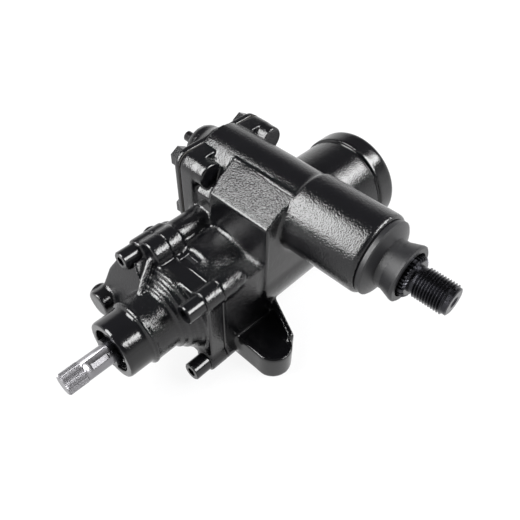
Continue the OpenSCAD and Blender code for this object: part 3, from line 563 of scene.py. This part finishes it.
@dataclass
class Castings:
    """The main casting, the valve housing and the side cover, in millimetres from the crossing.

    Attributes:
        sector_height: The sector shaft's axis above the worm's.
        screw_offset: Flange screws from the worm's axis, sideways and up.
        cover_bolt_y: Side cover bolts from the sector shaft's axis.
        cover_bolt_zs: Heights of the side cover bolts.
        bolt_hole_r: Radius that takes in a screw's or bolt's hole.
        foot_holes: X and Y of the holes in the feet.
        foot_hole_r: Radius that takes in a foot's hole.
    """

    sector_height: float = (SECTOR_AXIS.z - WORM_AXIS.z) / MM
    screw_offset: float = 39.5
    cover_bolt_y: float = 37.0
    cover_bolt_zs: tuple[float, float] = (82.0, 28.0)
    bolt_hole_r: float = 6.2
    foot_holes: tuple[tuple[float, float], ...] = ((-75, -66), (75, -66), (-46, 90))
    foot_hole_r: float = 7.5

    def build(self) -> list[bpy.types.Object]:
        """Builds the three skins and returns their objects."""
        return [self.gear_housing().build(), self.valve_housing().build(), self.side_cover().build()]

    def _screw_zones(self, start: float, end: float) -> list[Zone]:
        """Holes of the four flange screws."""
        return [Zone("flange screw hole", Axis.Y, (x * self.screw_offset, z * self.screw_offset),
                     self.bolt_hole_r, start, end, 0.0) for x in (-1, 1) for z in (-1, 1)]

    def _cover_bolt_zones(self, start: float, end: float) -> list[Zone]:
        """Holes of the four side cover bolts."""
        return [Zone("cover bolt hole", Axis.X, (y * self.cover_bolt_y, z), self.bolt_hole_r, start, end, 0.0)
                for y in (-1, 1) for z in self.cover_bolt_zs]

    def gear_housing(self) -> CastingSkin:
        """Describes the main casting: cylinder, flange, pad, side flange, sector housing and feet.

        Returns:
            The casting's skin, not yet built.
        """
        sector = (0, self.sector_height)
        machined = [
            Zone("flange joint", Axis.Y, (0, 0), 90.0, -98.0, -94.5, 0.15),
            Zone("cylinder groove", Axis.Y, (0, 0), 60.0, 112, 118, 0.1),
            Zone("cylinder bore", Axis.Y, (0, 0), 40.4, -FAR, FAR, 0.0),
            Zone("end plug seat", Axis.Y, (0, 0), 47.5, 118, FAR, 0.05),
            Zone("sector shaft bore", Axis.X, sector, 29.0, -70, FAR, 0.0),
            Zone("sector chamber", Axis.X, sector, 42.0, -70, 22, 0.0),
            *[Zone("foot hole", Axis.Z, centre, self.foot_hole_r, -80, -30, 0.0)
              for centre in self.foot_holes],
            *self._screw_zones(-98, -70),
            *self._cover_bolt_zones(-58, -30),
            Zone("return port", Axis.X, (-84.5, 24), 8.0, -70, -40, 0.0),
        ]
        sand = [
            Zone("cylinder end", Axis.Y, (0, 0), 60.0, 115, FAR, 0.1),
            Zone("sector housing", Axis.X, sector, 36.0, 48, FAR, 0.36),
            Zone("near front foot", Axis.Z, (75, -66), 40.0, -60, -20, 0.12),
            Zone("rough pad", Axis.X, (-41.8, 98.5), 21.0, -21, 48.5, 0.65),
            Zone("shoulder behind the flange", Axis.Y, (32, 38), 24.0, -92, -46, 0.6),
        ]
        melted = [
            Zone("body behind the flange", Axis.Y, (0, 0), 47.0, -90, -66, 1.0),
            Zone("foot of the pad's front wall", Axis.X, (-49, 41), 11.0, -36, 43, 1.0),
        ]
        return CastingSkin("gear_housing", voxel_mm=0.9, machined=machined, sand=sand, melted=melted)

    def valve_housing(self) -> CastingSkin:
        """Describes the valve housing: flange, neck, nose and port boss.

        Returns:
            The casting's skin, not yet built.
        """
        machined = [
            Zone("nose bore", Axis.Y, (0, 0), 25.6, -FAR, 0, 0.0),
            Zone("flange joint", Axis.Y, (0, 0), 90.0, -99.0, -95.0, 0.15),
            Zone("rings on the neck", Axis.Y, (0, 0), 42.0, -133, -113, 0.35),
            Zone("spigot", Axis.Y, (0, 0), 45.0, -96.8, 0, 0.0),
            *self._screw_zones(-150, -90),
            Zone("pressure port", Axis.X, (-143, -10.5), 8.0, -75, -45, 0.0),
        ]
        sand = [
            Zone("neck", Axis.Y, (0, 0), 70.0, -152, -112, 0.35),
            Zone("nose", Axis.Y, (0, 0), 27.6, -FAR, -153, 0.06),
            Zone("port boss", Axis.Y, (-55, -10.5), 13.5, -160, -140, 0.2),
        ]
        return CastingSkin("valve_housing", voxel_mm=0.75, machined=machined, sand=sand)

    def side_cover(self) -> CastingSkin:
        """Describes the side cover: flange, dome and hub.

        Returns:
            The casting's skin, not yet built.
        """
        machined = [
            Zone("adjuster hub", Axis.X, (0, self.sector_height), 19.5, -86, -50, 0.0),
            *self._cover_bolt_zones(-80, -54),
        ]
        return CastingSkin("side_cover", voxel_mm=1.0, machined=machined)


def placed_mesh(work: bmesh.types.BMesh, place: Matrix) -> bpy.types.Mesh:
    """Moves a mesh in millimetres into the frame and closes it into mesh data.

    Args:
        work: Mesh to place, which is freed.
        place: Turn and shift in metres.

    Returns:
        The placed mesh.
    """
    bmesh.ops.transform(work, matrix=place @ Matrix.Scale(MM, 4), verts=work.verts)
    bmesh.ops.recalc_face_normals(work, faces=work.faces)
    mesh = bpy.data.meshes.new("turned_piece")
    work.to_mesh(mesh)
    work.free()
    return mesh


def cut_copy(node: str, point: Vector, outward: Vector) -> bpy.types.Mesh:
    """Copies a node, takes off what lies beyond a plane and closes the cut.

    Args:
        node: Name of the CAD node.
        point: A point of the plane, in metres.
        outward: The plane's normal, towards the side that goes.

    Returns:
        The closed copy.
    """
    mesh = merged_copy(node)
    work = bmesh.new()
    work.from_mesh(mesh)
    cut = bmesh.ops.bisect_plane(work, geom=[*work.verts, *work.edges, *work.faces], plane_co=point,
                                 plane_no=outward, clear_outer=True)
    rim = [item for item in cut["geom_cut"] if isinstance(item, bmesh.types.BMEdge)]
    bmesh.ops.holes_fill(work, edges=rim)
    work.to_mesh(mesh)
    work.free()
    return mesh


@dataclass(frozen=True)
class SerratedBar:
    """A bar along X with serrations and a chamfered end, in millimetres.

    Attributes:
        CORNERS: Corners of the outline to a tooth and its gap.
        radius: Radius over the teeth.
        depth: Depth of the gaps.
        teeth: Teeth round the bar.
        start: Where the bar begins.
        end: Where it ends.
        chamfer: Chamfer at the end.
        blank_every: One gap in so many stays full, which keys the arm or coupling.
    """

    CORNERS = 4

    radius: float
    depth: float
    teeth: int
    start: float
    end: float
    chamfer: float
    blank_every: int

    def work(self) -> bmesh.types.BMesh:
        """Extrudes a toothed outline and draws its end in.

        Returns:
            The bar, in millimetres about the X axis.
        """
        work = bmesh.new()
        ring = bmesh.ops.create_circle(work, cap_ends=True, radius=self.radius,
                                       segments=self.teeth * self.CORNERS)["verts"]
        turn = Matrix.Rotation(math.radians(90), 4, "Y")
        bmesh.ops.transform(work, matrix=Matrix.Translation((self.start, 0, 0)) @ turn, verts=ring)
        for number, corner in enumerate(ring):
            tooth, place = divmod(number, self.CORNERS)
            if place >= self.CORNERS / 2 and tooth % self.blank_every:
                corner.co.yz *= 1 - self.depth / self.radius
        face = next(iter(work.faces))
        for reach, draw in ((self.end - self.chamfer, 1.0), (self.end, 1 - self.chamfer / self.radius)):
            grown = bmesh.ops.extrude_face_region(work, geom=[face])["geom"]
            if reach < self.end:
                face.normal_flip()
            else:
                bmesh.ops.delete(work, geom=[face], context="FACES_ONLY")
            face = next(item for item in grown if isinstance(item, bmesh.types.BMFace))
            for corner in face.verts:
                corner.co.x = reach
                corner.co.yz *= draw
        return work


@dataclass
class SectorEnd:
    """Free end of the sector shaft: serrations, undercut and thread for the pitman nut, in millimetres.

    Attributes:
        serrations: The bar that the pitman arm sits on.
        sunk: How far the core reaches into that bar.
        undercut_r: Radius of the undercut before the thread.
        thread_from: Where the thread begins.
        thread_end: Where the shaft ends.
        thread_r: Radius over the thread.
        thread_depth: Depth of the thread.
        pitch: Advance of the thread in a turn.
        ridge_lead: Where the ridge starts, past the thread's beginning.
        ridge_sunk: How far the ridge's foot sinks into the core.
        runout: Length of the slope from the undercut up to the core.
        chamfer: Chamfer at the end.
        chamfer_lead: How much shorter than deep the chamfer is.
        centre_r: Radius of the centre hole at the face.
        centre_floor_r: Radius of its floor.
        centre_depth: Its depth.
        steps: Steps in a turn.
        weld: Distance below which corners are the same corner.
    """

    serrations: SerratedBar = SerratedBar(radius=17.5, depth=1.5, teeth=36, start=140.0, end=153.6,
                                          chamfer=1.6, blank_every=9)
    sunk: float = 4.0
    undercut_r: float = 11.5
    thread_from: float = 156.0
    thread_end: float = 186.0
    thread_r: float = 13.0
    thread_depth: float = 1.5
    pitch: float = 2.3
    ridge_lead: float = 0.6
    ridge_sunk: float = 0.4
    runout: float = 0.8
    chamfer: float = 1.2
    chamfer_lead: float = 0.6
    centre_r: float = 5.0
    centre_floor_r: float = 2.25
    centre_depth: float = 2.2
    steps: int = 64
    weld: float = 0.001

    def build(self) -> list[bpy.types.Object]:
        """Builds the shaft without its end, then the serrated end and the thread.

        Returns:
            The pieces' objects.
        """
        cut = SECTOR_AXIS + Vector((self.serrations.start * MM, 0.0, 0.0))
        place = Matrix.Translation(SECTOR_AXIS)
        return [
            new_piece("sector_shaft_body", cut_copy("sector_shaft", cut, Vector((1, 0, 0))), Body.SECTOR,
                      "black_sector_steel", ["sector_shaft"]),
            new_piece("sector_serrations", placed_mesh(self.serrations.work(), place), Body.SECTOR,
                      "black_sector_steel"),
            new_piece("pitman_thread", placed_mesh(self._thread(), place), Body.SECTOR, "black_sector_steel"),
        ]

    def _thread(self) -> bmesh.types.BMesh:
        """Turns the core with its undercut, chamfer and centre, and winds the thread's ridge round it.

        Returns:
            The core and the ridge, in millimetres about the X axis.
        """
        work = bmesh.new()
        root_r = self.thread_r - self.thread_depth
        inner = self.serrations.end - self.sunk
        centre_floor = self.thread_end - self.centre_depth
        profile = [
            (inner, 0), (inner, self.undercut_r), (self.thread_from, self.undercut_r),
            (self.thread_from + self.runout, root_r),
            (self.thread_end - self.chamfer + self.chamfer_lead, root_r),
            (self.thread_end, root_r - self.chamfer), (self.thread_end, self.centre_r),
            (centre_floor, self.centre_floor_r), (centre_floor, 0),
        ]
        corners = [work.verts.new((x, 0, r)) for x, r in profile]
        edges = [work.edges.new(pair) for pair in zip(corners, corners[1:])]
        bmesh.ops.spin(work, geom=[*corners, *edges], cent=(0, 0, 0), axis=(1, 0, 0), angle=math.tau,
                       steps=self.steps, use_merge=True)
        bmesh.ops.remove_doubles(work, verts=work.verts, dist=self.weld)
        turns = int((self.thread_end - self.thread_from - self.chamfer) / self.pitch) - 1
        start = self.thread_from + self.ridge_lead
        foot_r = root_r - self.ridge_sunk
        flank = [(start, foot_r), (start + self.pitch / 2, self.thread_r), (start + self.pitch, foot_r)]
        section = work.faces.new([work.verts.new((x, 0, r)) for x, r in flank])
        bmesh.ops.spin(work, geom=[section], cent=(0, 0, 0), axis=(1, 0, 0), angle=math.tau * turns,
                       steps=self.steps * turns, dvec=(self.pitch / self.steps, 0, 0))
        return work


@dataclass
class InputTip:
    """Serrated tip of the input shaft, which the steering column's coupling clamps, in millimetres.

    Attributes:
        serrations: The tip, whose only full gap is the first.
    """

    serrations: SerratedBar = SerratedBar(radius=9.5, depth=0.45, teeth=36, start=203.7, end=220.8,
                                          chamfer=1.0, blank_every=37)

    def build(self) -> list[bpy.types.Object]:
        """Builds the shaft without its tip, then the serrated tip.

        Returns:
            The pieces' objects.
        """
        cut = CROSSING - Vector((0.0, self.serrations.start * MM, 0.0))
        place = Matrix.Translation(CROSSING) @ Matrix.Rotation(math.radians(-90), 4, "Z")
        return [
            new_piece("input_shaft_body", cut_copy("input_shaft", cut, Vector((0, -1, 0))), Body.INPUT,
                      "bright_shaft_steel", ["input_shaft"]),
            new_piece("input_serrations", placed_mesh(self.serrations.work(), place), Body.INPUT,
                      "bright_shaft_steel"),
        ]


@dataclass
class Dressing:
    """Finishes of the CAD nodes that keep their own shape.

    Attributes:
        finishes: Finish of each material slot of the record.
    """

    finishes: dict[str, Finish] = field(default_factory=lambda: SLOT_FINISHES)

    def dress(self) -> None:
        """Gives each shown node the finish of its record slot."""
        for name, node in frame["nodes"].items():
            slot = node.data.materials[0].name.split(".")[0]
            node.data.materials[0] = self.finishes[slot].material()
            log.info("%s: %s", name, self.finishes[slot].name)


@dataclass(frozen=True)
class Softbox:
    """A rectangular studio lamp.

    Attributes:
        name: Name of the lamp.
        direction: Where it stands, seen from the gearbox.
        upward: Which way its height runs.
        distance: How far it stands from the gearbox, in metres.
        width: Width of its face, in metres.
        height: Height of its face, in metres.
        radiance: Brightness of its face.
    """

    name: str
    direction: tuple[float, float, float]
    upward: tuple[float, float, float]
    distance: float
    width: float
    height: float
    radiance: float


@dataclass
class Studio:
    """Camera, lamps, floor and surroundings, in metres and degrees.

    Attributes:
        eye: The camera's place, as fitted to the photograph.
        azimuth: The camera's turn about the gearbox.
        elevation: The camera's height above the gearbox.
        roll: The camera's tilt about its own line of sight.
        lens: The camera's focal length, in millimetres.
        sensor: Width of its frame, in millimetres.
        target: The point that the lamps face.
        floor_size: Side of the floor.
        floor_colour: Colour of the floor as a surface that light falls on.
        floor_roughness: Roughness of the floor.
        near_glow: Glow of the floor round the gearbox, which leaves room for the shadow.
        far_glow: Glow of the floor where the lamps don't reach.
        shadow_reach: Where the near glow ends.
        shadow_end: Where the far glow begins.
        wall_strength: Brightness of the walls.
        wall_top: Upward part of a direction at which the walls end.
        ceiling_strength: Brightness of the ceiling.
        ceiling_from: Upward part of a direction at which the ceiling begins.
        lamps: The softboxes.
    """

    eye: Vector = field(default_factory=lambda: Vector((0.2640, -0.2217, 0.4426)))
    azimuth: float = 43.04
    elevation: float = 46.82
    roll: float = 1.30
    lens: float = 40.14
    sensor: float = 36.0
    target: Vector = field(default_factory=lambda: Vector((0.03, 0.03, 0.07)))
    floor_size: float = 12.0
    floor_colour: str = "#4c4c4d"
    floor_roughness: float = 0.9
    near_glow: float = 0.9
    far_glow: float = 1.0
    shadow_reach: float = 0.3
    shadow_end: float = 0.9
    wall_strength: float = 1.0
    wall_top: float = 0.12
    ceiling_strength: float = 0.10
    ceiling_from: float = 0.5
    lamps: tuple[Softbox, ...] = (
        Softbox("front_left_strip", direction=(-0.46, -0.60, 0.65), upward=(-0.04, 0.68, 0.73), distance=1.1,
                width=0.5, height=1.15, radiance=17.0),
        Softbox("right_softbox", direction=(0.53, 0.49, 0.69), upward=(0.0, 0.0, 1.0), distance=1.1,
                width=0.95, height=0.46, radiance=18.5),
    )

    def build(self) -> None:
        """Sets up the whole studio."""
        self._camera()
        for lamp in self.lamps:
            self._lamp(lamp)
        self._floor()
        self._surroundings()
        bpy.context.scene.view_settings.view_transform = "Standard"

    def _camera(self) -> None:
        """Places the camera where the photograph was taken."""
        turn, tilt, roll = (math.radians(a) for a in (self.azimuth, self.elevation, self.roll))
        level = Vector((math.cos(turn), math.sin(turn), 0.0))
        back = Vector((math.sin(turn) * math.cos(tilt), -math.cos(turn) * math.cos(tilt), math.sin(tilt)))
        down = -back.cross(level)
        right = math.cos(roll) * level - math.sin(roll) * down
        below = math.sin(roll) * level + math.cos(roll) * down
        data = bpy.data.cameras.new("photo_camera")
        data.lens = self.lens
        data.sensor_width = self.sensor
        camera = bpy.data.objects.new("photo_camera", data)
        bpy.context.scene.collection.objects.link(camera)
        aim = Matrix((right, -below, back)).transposed()
        camera.matrix_world = Matrix.Translation(self.eye) @ aim.to_4x4()
        bpy.context.scene.camera = camera

    def _lamp(self, lamp: Softbox) -> None:
        """Adds one softbox that faces the gearbox.

        Args:
            lamp: The softbox.
        """
        data = bpy.data.lights.new(lamp.name, "AREA")
        data.shape = "RECTANGLE"
        data.size = lamp.width
        data.size_y = lamp.height
        data.energy = lamp.radiance * math.pi * lamp.width * lamp.height
        holder = bpy.data.objects.new(lamp.name, data)
        bpy.context.scene.collection.objects.link(holder)
        direction = Vector(lamp.direction).normalized()
        across = Vector(lamp.upward).cross(direction).normalized()
        turn = Matrix((across, direction.cross(across), direction)).transposed()
        holder.matrix_world = Matrix.Translation(self.target + direction * lamp.distance) @ turn.to_4x4()

    def _floor(self) -> None:
        """Lays the pale floor, which is white to the eye and in reflections, and keeps the shadow."""
        work = bmesh.new()
        bmesh.ops.create_grid(work, x_segments=1, y_segments=1, size=self.floor_size / 2)
        mesh = bpy.data.meshes.new("floor")
        work.to_mesh(mesh)
        work.free()
        floor = bpy.data.objects.new("floor", mesh)
        bpy.context.scene.collection.objects.link(floor)
        material = bpy.data.materials.new("matt_white_paper")
        material.use_nodes = True
        tree = material.node_tree
        shader = tree.nodes["Principled BSDF"]
        shader.inputs["Base Color"].default_value = linear(self.floor_colour)
        shader.inputs["Roughness"].default_value = self.floor_roughness
        shader.inputs["Specular IOR Level"].default_value = 0.0
        shader.inputs["Emission Color"].default_value = WHITE
        path = add_node(tree, "ShaderNodeLightPath")
        mirrored = add_node(tree, "ShaderNodeMath",
                            {0: path.outputs["Is Glossy Ray"], 1: path.outputs["Is Transmission Ray"]},
                            operation="MAXIMUM")
        seen = add_node(tree, "ShaderNodeMath", {0: path.outputs["Is Camera Ray"], 1: mirrored.outputs[0]},
                        operation="MAXIMUM")
        place = add_node(tree, "ShaderNodeTexCoord")
        reach = add_node(tree, "ShaderNodeVectorMath", {0: place.outputs["Object"]}, operation="LENGTH")
        bright = add_node(tree, "ShaderNodeMapRange",
                          {"Value": reach.outputs["Value"], "From Min": self.shadow_reach,
                           "From Max": self.shadow_end, "To Min": self.near_glow, "To Max": self.far_glow},
                          interpolation_type="SMOOTHSTEP")
        glow = add_node(tree, "ShaderNodeMath", {0: seen.outputs[0], 1: bright.outputs["Result"]},
                        operation="MULTIPLY")
        tree.links.new(glow.outputs[0], shader.inputs["Emission Strength"])
        mesh.materials.append(material)

    def _surroundings(self) -> None:
        """Gives the room white walls and a dark ceiling, and makes all of it white to the eye."""
        world = bpy.data.worlds.new("studio_room")
        bpy.context.scene.world = world
        world.use_nodes = True
        tree = world.node_tree
        place = add_node(tree, "ShaderNodeTexCoord")
        parts = add_node(tree, "ShaderNodeSeparateXYZ", {"Vector": place.outputs["Generated"]})
        height = add_node(tree, "ShaderNodeMapRange",
                          {"Value": parts.outputs["Z"], "From Min": self.wall_top,
                           "From Max": self.ceiling_from, "To Min": self.wall_strength,
                           "To Max": self.ceiling_strength},
                          interpolation_type="SMOOTHSTEP")
        path = add_node(tree, "ShaderNodeLightPath")
        seen = add_node(tree, "ShaderNodeMath",
                        {0: path.outputs["Is Camera Ray"], 1: height.outputs["Result"]}, operation="MAXIMUM")
        backdrop = tree.nodes["Background"]
        backdrop.inputs["Color"].default_value = WHITE
        tree.links.new(seen.outputs[0], backdrop.inputs["Strength"])


def main() -> None:
    """Builds the studio, dresses the frame and adds the modelled pieces."""
    logging.basicConfig(level=logging.INFO, format="%(name)s: %(message)s")
    Studio().build()
    Dressing().dress()
    Castings().build()
    SectorEnd().build()
    InputTip().build()


if __name__ == "__main__":
    main()
